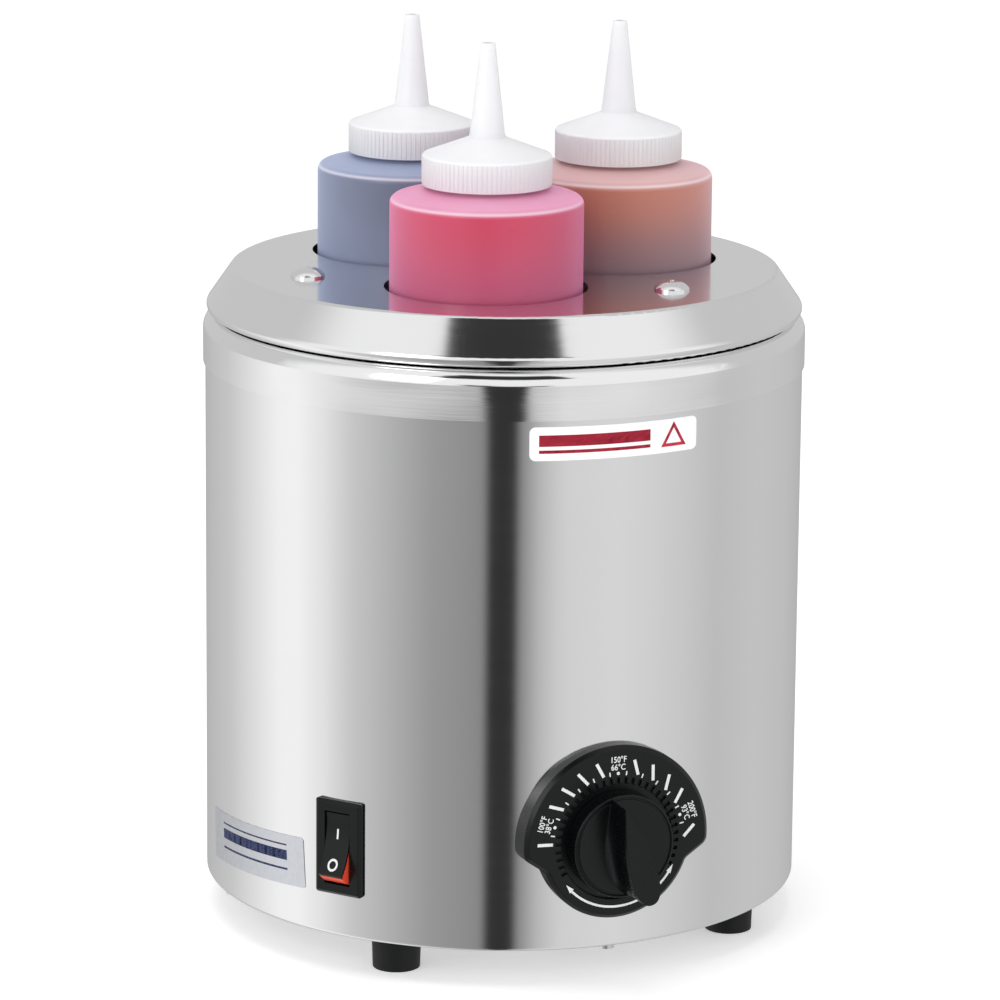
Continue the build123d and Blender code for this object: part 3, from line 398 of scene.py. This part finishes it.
finishes = {
    "shroud_steel": brushedSteel("shroudSteel", 0.90, 0.085, 0.02),
    "bright_steel": brushedSteel("brightSteel", 0.90, 0.10, 0.03, lined=420.0),
    "screw_steel": plainSteel("screwSteel", 0.75, 0.22),
    "chrome_head": plainSteel("domeNutSteel", 0.90, 0.06),
    "black_moulding": mouldedPlastic("blackMoulding", "040607", "080B0C", 0.20, rounded=0.0006,
                                     Specular_IOR_Level=0.30),
    "black_rubber": mouldedPlastic("footRubber", "0B0C0D", "141618", 0.5, grain=900.0, pitted=0.00004,
                                   Specular_IOR_Level=0.3),
    "rocker_red": mouldedPlastic("rockerRed", "D8402A", "E8543A", 0.3),
    "bottle_plastic": mouldedPlastic("bottlePlastic", "D4CFD8", "DDD8E0", 0.3),
    "cap_plastic": mouldedPlastic("capPlastic", "EFEFF3", "F6F6F9", 0.35),
    "sauce_red": mouldedPlastic("sauceRed", "B0203A", "C42A44", 0.3),
    "sauce_caramel": mouldedPlastic("sauceCaramel", "9C6450", "B8735A", 0.3),
    "sauce_slate": mouldedPlastic("sauceSlate", "55596C", "6A7088", 0.3),
    "seal_foam": mouldedPlastic("sealFoam", "D8D8D0", "E4E4DE", 0.7),
    "brass": metalOf("brassBlade", "A98238", "C9A050", 0.25),
    "element_sheath": metalOf("elementSheath", "4A4038", "6B6058", 0.35),
    "phenolic": mouldedPlastic("phenolic", "2A211C", "3A2E26", 0.45),
    "copper_tube": metalOf("copperTube", "9A5A38", "C07A50", 0.22),
    "block_ceramic": mouldedPlastic("blockCeramic", "E2DFD4", "EFEDE4", 0.2, Coat_Weight=0.4),
    "wire_black": mouldedPlastic("wireBlack", "101010", "1A1A1A", 0.4),
    "wire_red": mouldedPlastic("wireRed", "7A1410", "96201A", 0.4),
    "wire_white": mouldedPlastic("wireWhite", "D8D8D4", "E6E6E2", 0.4),
    "wire_green": mouldedPlastic("wireGreen", "0E5A28", "187838", 0.4),
    "label_face": mouldedPlastic("labelFace", "F2F2F3", "FAFAFA", 0.35),
    "badge_foil": metalOf("badgeFoil", "CACDD4", "E6E8EC", 0.25),
}
pressedRim = brushedSteel("pressedRimSteel", 0.92, 0.08, 0.02, taper=0.035, wave=0.0006)
sauces = {
    "front": {"deep": "BE1834", "low": "B84062", "empty": "DBA4BC", "edge": "E39AC4", "level": 0.2642},
    "right": {"deep": "B96B4E", "low": "7C666C", "empty": "CDAAA6", "edge": "D0B0BC", "level": 0.2640},
    "left": {"deep": "666D82", "low": "7C86A0", "empty": "8A92AA", "edge": "A4AECB", "level": 0.2644},
}
slotOf = {part["node"]: part["material_slot"] for part in frame["record"]["subparts"]}
dress = {"vessel": pressedRim}
for side, sauce in sauces.items():
    dress["bottle_" + side] = filledBottle("bottle" + side.title(), **sauce)
    dress["cap_" + side] = milkyCap("cap" + side.title(), sauce["empty"])
for nodeName, node in nodes.items():
    node.data.materials.clear()
    node.data.materials.append(dress.get(nodeName, finishes[slotOf[nodeName]]))
print("finishes set:", len(finishes) + len(dress))


# repeated pieces: a ring of bars or rods round the Z axis, turned and placed as a whole

ringInputs = {"Count": "Int", "First": "Float", "Step": "Float", "Radius": "Float", "Length": "Float",
              "Width": "Float", "Height": "Float", "Every": "Int", "Skipped": "Int", "Place": "Vector",
              "Turn": "Vector"}
rodSides = 10


def ringTree(name, stamp, finish):
    tree = bpy.data.node_groups.new(name, "GeometryNodeTree")
    for label, kind in ringInputs.items():
        tree.interface.new_socket(label, in_out="INPUT", socket_type="NodeSocket" + kind)
    tree.interface.new_socket("Geometry", in_out="OUTPUT", socket_type="NodeSocketGeometry")
    g = Graph(tree)
    group = tree.nodes.new("NodeGroupInput")
    given = {label: Value(tree, group.outputs[label]) for label in ringInputs}
    index = g.node("GeometryNodeInputIndex")
    angle = index * given["Step"] + given["First"]
    spot = g.join(angle.calc("COSINE") * given["Radius"], angle.calc("SINE") * given["Radius"])
    points = g.node("GeometryNodeMeshLine", Count=given["Count"])
    points = g.node("GeometryNodeSetPosition", Geometry=points, Position=spot)
    remainder = index.calc("MODULO", given["Every"])
    left = g.node("FunctionNodeCompare", {"operation": "EQUAL"}, i0=remainder, i1=given["Skipped"])
    points = g.node("GeometryNodeDeleteGeometry", Geometry=points, Selection=left)
    if stamp == "bar":
        size = g.join(given["Length"], given["Width"], given["Height"])
        shape = g.node("GeometryNodeMeshCube", Size=size)
    else:
        shape = g.node("GeometryNodeMeshCylinder", Vertices=rodSides, Radius=given["Width"],
                       Depth=given["Height"])
    ring = g.node("GeometryNodeInstanceOnPoints", Points=points, Instance=shape, Rotation=g.join(z=angle))
    ring = g.node("GeometryNodeTransform", Geometry=ring, Translation=given["Place"], Rotation=given["Turn"])
    ring = g.node("GeometryNodeRealizeInstances", Geometry=ring)
    ring = g.node("GeometryNodeSetMaterial", Geometry=ring, Material=finish)
    out = tree.nodes.new("NodeGroupOutput")
    tree.links.new(ring.socket, out.inputs[0])
    return tree


def piece(name, mesh, body, finish):
    mesh.name = name
    made = bpy.data.objects.new(name, mesh)
    scene.collection.objects.link(made)
    mesh.materials.clear()
    mesh.materials.append(finish)
    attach(made, body)


def ringMesh(tree, settings):
    # the tree runs on a carrier, and only its plain mesh is kept
    carrier = bpy.data.objects.new("carrier", bpy.data.meshes.new("carrier"))
    scene.collection.objects.link(carrier)
    run = carrier.modifiers.new("ring", "NODES")
    run.node_group = tree
    for item in tree.interface.items_tree:
        if item.in_out == "INPUT" and item.name in settings:
            run[item.identifier] = settings[item.name]
    plain = bpy.data.meshes.new_from_object(carrier.evaluated_get(bpy.context.evaluated_depsgraph_get()))
    bpy.data.objects.remove(carrier)
    return plain


def joined(*meshes):
    merged = bmesh.new()
    for mesh in meshes:
        merged.from_mesh(mesh)
    out = bpy.data.meshes.new("joined")
    merged.to_mesh(out)
    merged.free()
    return out


# grip ribs on the cap skirts
capRibs = {"count": 84, "radius": 0.02222, "thick": 0.00042, "foot": 0.2706, "height": 0.0092}
for side in sauces:
    low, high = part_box("cap_" + side)
    middle = (low + high) / 2
    ribTree = ringTree("capRibs" + side.title(), "rod", dress["cap_" + side])
    ribs = ringMesh(ribTree, {
        "Count": capRibs["count"], "Step": 2 * math.pi / capRibs["count"], "Radius": capRibs["radius"],
        "Width": capRibs["thick"], "Height": capRibs["height"], "Every": 1, "Skipped": 1,
        "Place": (middle.x, middle.y, capRibs["foot"] + capRibs["height"] / 2)})
    piece("cap_ribs_" + side, ribs, "cap_" + side, dress["cap_" + side])
print("cap ribs made")


# dial print: degree marks, dots, figures and a double-headed arc, all on the bezel's face
dialPrint = {"height": 0.052, "sweep": 87.0, "first": 90, "last": 210, "proud": 0.00004,
             "arc": 0.0232, "arcWide": 0.0008, "arcFrom": 124, "arcTo": 226, "arcSteps": 40,
             "head": 0.0019, "headSlope": 1.7}
dialFigures = {"heats": (100, 150, 200), "size": 0.0030, "squeeze": 0.86, "bolder": 0.012, "rounding": 3,
               "fahrenheitOut": 0.0291, "celsiusOut": 0.0264}
# every mark has its first heat and its step in degrees; of each "every" marks, the one "skipped" is left out
dialRings = {
    "longMarks": {"stamp": "bar", "count": 13, "heat": 90, "step": 10, "every": 5, "skipped": 1,
                  "radius": 0.0267, "length": 0.0056, "width": 0.0011},
    "shortMarks": {"stamp": "bar", "count": 12, "heat": 95, "step": 10, "every": 20, "skipped": 19,
                   "radius": 0.0243, "length": 0.0015, "width": 0.00045},
    "dots": {"stamp": "rod", "count": 3, "heat": 100, "step": 50, "every": 20, "skipped": 19,
             "radius": 0.0243, "length": 0.0, "width": 0.0006},
}
printWhite = mouldedPlastic("printWhite", "D9DCDC", "EDEFEF", 0.5)
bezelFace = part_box("dial_bezel")[0].y
degree = math.radians(2 * dialPrint["sweep"] / (dialPrint["last"] - dialPrint["first"]))


def dialAngle(heat):
    return (heat - (dialPrint["first"] + dialPrint["last"]) / 2) * degree


def dialRing(label, c):
    tree = ringTree(label, c["stamp"], printWhite)
    return ringMesh(tree, {
        "Count": c["count"], "First": math.pi / 2 - dialAngle(c["heat"]), "Step": -c["step"] * degree,
        "Radius": c["radius"], "Length": c["length"], "Width": c["width"], "Height": 2 * dialPrint["proud"],
        "Every": c["every"], "Skipped": c["skipped"], "Place": (0, bezelFace, dialPrint["height"]),
        "Turn": (math.pi / 2, 0, 0)})


def onDial(mesh, turn, out):
    # from the drawing plane (x right, y up) to the bezel's face, out along a bearing from the top
    toBezel = Matrix.Translation((0, bezelFace, dialPrint["height"])) @ Matrix.Rotation(math.pi / 2, 4, "X")
    mesh.transform(toBezel @ Matrix.Rotation(-turn, 4, "Z") @ Matrix.Translation((0, out, 0)))
    return mesh


def figureMesh(words, c):
    curve = bpy.data.curves.new("figure", "FONT")
    curve.body = words
    curve.size = c["size"]
    curve.align_x = "CENTER"
    curve.align_y = "CENTER"
    curve.extrude = dialPrint["proud"]
    curve.offset = c["size"] * c["bolder"]
    curve.resolution_u = c["rounding"]
    carrier = bpy.data.objects.new("figure", curve)
    scene.collection.objects.link(carrier)
    mesh = bpy.data.meshes.new_from_object(carrier.evaluated_get(bpy.context.evaluated_depsgraph_get()))
    bpy.data.objects.remove(carrier)
    mesh.transform(Matrix.Diagonal((c["squeeze"], 1, 1, 1)))
    return mesh


def prism(outline, thick):
    # a flat outline, anticlockwise, as a closed slab about the drawing plane
    flat = bmesh.new()
    base = flat.faces.new([flat.verts.new((x, y, -thick)) for x, y in outline])
    top = bmesh.ops.extrude_face_region(flat, geom=[base])["geom"]
    topVerts = [v for v in top if isinstance(v, bmesh.types.BMVert)]
    bmesh.ops.translate(flat, vec=(0, 0, 2 * thick), verts=topVerts)
    bmesh.ops.recalc_face_normals(flat, faces=flat.faces)
    mesh = bpy.data.meshes.new("prism")
    flat.to_mesh(mesh)
    flat.free()
    return mesh


def arcArrow(d):
    # one outline: along the outer edge with a head at each end, and back along the inner edge
    def at(bearing, radius):
        turn = math.radians(bearing)
        return (radius * math.sin(turn), radius * math.cos(turn))
    start, end, half, wing = d["arcFrom"], d["arcTo"], d["arcWide"] / 2, d["head"] / 2
    lead = math.degrees(d["headSlope"] * d["head"] / d["arc"])
    bearings = [start + (end - start) * k / d["arcSteps"] for k in range(d["arcSteps"] + 1)]
    outer = [at(b, d["arc"] + half) for b in bearings]
    inner = [at(b, d["arc"] - half) for b in reversed(bearings)]
    tip = [at(end, d["arc"] + wing), at(end + lead, d["arc"]), at(end, d["arc"] - wing)]
    tail = [at(start, d["arc"] - wing), at(start - lead, d["arc"]), at(start, d["arc"] + wing)]
    return prism(outer + tip + inner + tail, d["proud"])


marks = [dialRing(label, ring) for label, ring in dialRings.items()]
marks.append(onDial(arcArrow(dialPrint), 0.0, 0.0))
for heat in dialFigures["heats"]:
    celsius = round((heat - 32) / 1.8)
    for words, row in ((f"{heat}°F", "fahrenheitOut"), (f"{celsius}°C", "celsiusOut")):
        marks.append(onDial(figureMesh(words, dialFigures), dialAngle(heat), dialFigures[row]))
piece("dial_print", joined(*marks), "base", printWhite)
print("dial printed")


# prints pressed on a curved face: a flat mark is cast inwards on to the part under it
pressed = {"castFrom": 0.2, "proud": 0.00004, "thick": 0.00012, "merge": 1e-7}


def grid(left, right, low, high, step=0.0015, bend=None):
    flat = bmesh.new()
    across, up = (max(1, math.ceil(span / step)) for span in (right - left, high - low))
    rows = []
    for j in range(up + 1):
        row = []
        for i in range(across + 1):
            x, y = left + (right - left) * i / across, low + (high - low) * j / up
            row.append(flat.verts.new((*(bend(x, y) if bend else (x, y)), 0)))
        rows.append(row)
    for j in range(up):
        for i in range(across):
            flat.faces.new((rows[j][i], rows[j][i + 1], rows[j + 1][i + 1], rows[j + 1][i]))
    bmesh.ops.remove_doubles(flat, verts=flat.verts, dist=pressed["merge"])
    mesh = bpy.data.meshes.new("grid")
    flat.to_mesh(mesh)
    flat.free()
    return mesh


def pressOn(mesh, under, bearing, height, tilt=0.0):
    phi = math.radians(bearing)
    outward = Vector((math.sin(phi), -math.cos(phi), 0))
    across = Vector((math.cos(phi), math.sin(phi), 0))
    up = Vector((0, 0, 1))
    lean = math.radians(tilt)
    target = BVHTree.FromPolygons([v.co.copy() for v in under.data.vertices],
                                  [tuple(p.vertices) for p in under.data.polygons])
    landed = bmesh.new()
    landed.from_mesh(mesh)
    for v in landed.verts:
        x = v.co.x * math.cos(lean) - v.co.y * math.sin(lean)
        y = v.co.x * math.sin(lean) + v.co.y * math.cos(lean)
        start = outward * pressed["castFrom"] + across * x + up * (height + y)
        spot = target.ray_cast(start, -outward)[0]
        v.co = spot + outward * pressed["proud"]
    bmesh.ops.solidify(landed, geom=landed.faces[:], thickness=pressed["thick"])
    bmesh.ops.recalc_face_normals(landed, faces=landed.faces)
    landed.to_mesh(mesh)
    landed.free()
    return mesh


def triangleRim(side, wide, step=0.25):
    # the outline of an upright triangle, as three bars with mitred ends
    rise = side * math.sqrt(3) / 2
    corners = [Vector((-side / 2, -rise / 3)), Vector((side / 2, -rise / 3)), Vector((0, 2 * rise / 3))]
    shrink = 1 - wide / (rise / 3)
    bars = []
    for a, b in zip(corners, corners[1:] + corners[:1]):
        bars.append(grid(0, 1, 0, 1, step, lambda x, y, a=a, b=b: tuple(
            (a + (b - a) * x) * (1 - y) + (a + (b - a) * x) * shrink * y)))
    return joined(*bars)


def shifted(mesh, x, y=0.0):
    mesh.transform(Matrix.Translation((x, y, 0)))
    return mesh


labelPrint = {"height": 0.1921, "left": -0.0275, "right": 0.0120, "thick": (-0.0008, 0.0030),
              "fine": (-0.0032, -0.0022), "markOver": 0.0212, "markUp": -0.0008, "side": 0.0098,
              "rim": 0.0010}
crimson = mouldedPlastic("labelCrimson", "C41C3C", "CC2243", 0.45, pitted=0.0)
bars = joined(*(grid(labelPrint["left"], labelPrint["right"], *labelPrint[k]) for k in ("thick", "fine")),
              shifted(triangleRim(labelPrint["side"], labelPrint["rim"]), labelPrint["markOver"],
                      labelPrint["markUp"]))
piece("label_print", pressOn(bars, nodes["front_label"], 0.0, labelPrint["height"]), "base",
      crimson)

badgePrint = {"bearing": -77.5, "height": 0.035, "tilt": 3.4, "left": -0.020, "right": 0.022,
              "bar": (0.0000, 0.0034), "fine": (-0.0036, -0.0030), "hair": (0.0052, 0.0056)}
navy = mouldedPlastic("badgeNavy", "202F5C", "263564", 0.45, pitted=0.0)
stripes = joined(*(grid(badgePrint["left"], badgePrint["right"], *badgePrint[k])
                   for k in ("bar", "fine", "hair")))
piece("badge_print", pressOn(stripes, nodes["side_badge"], badgePrint["bearing"], badgePrint["height"],
                             badgePrint["tilt"]), "base", navy)
print("label and badge printed")


# on and off marks of the rocker: a bar above its pivot and a ring below
rockerPrint = {"bearing": -52.7, "height": 0.0455, "bar": (0.0007, 0.0034), "barUp": 0.0052,
               "ringOut": 0.0020, "ringIn": 0.0013, "ringDown": -0.0052, "barStep": 0.0005, "ringStep": 0.2}


def ringPatch(inner, outer, step):
    return grid(0, 2 * math.pi, inner, outer, step, lambda a, r: (-r * math.cos(a), r * math.sin(a)))


barWide, barTall = rockerPrint["bar"]
onBar = shifted(grid(-barWide / 2, barWide / 2, -barTall / 2, barTall / 2, rockerPrint["barStep"]), 0,
                rockerPrint["barUp"])
offRing = shifted(ringPatch(rockerPrint["ringIn"], rockerPrint["ringOut"], rockerPrint["ringStep"]), 0,
                  rockerPrint["ringDown"])
piece("rocker_print", pressOn(joined(onBar, offRing), nodes["rocker_cap"], rockerPrint["bearing"],
                              rockerPrint["height"]), "rocker", printWhite)
print("rocker marked")
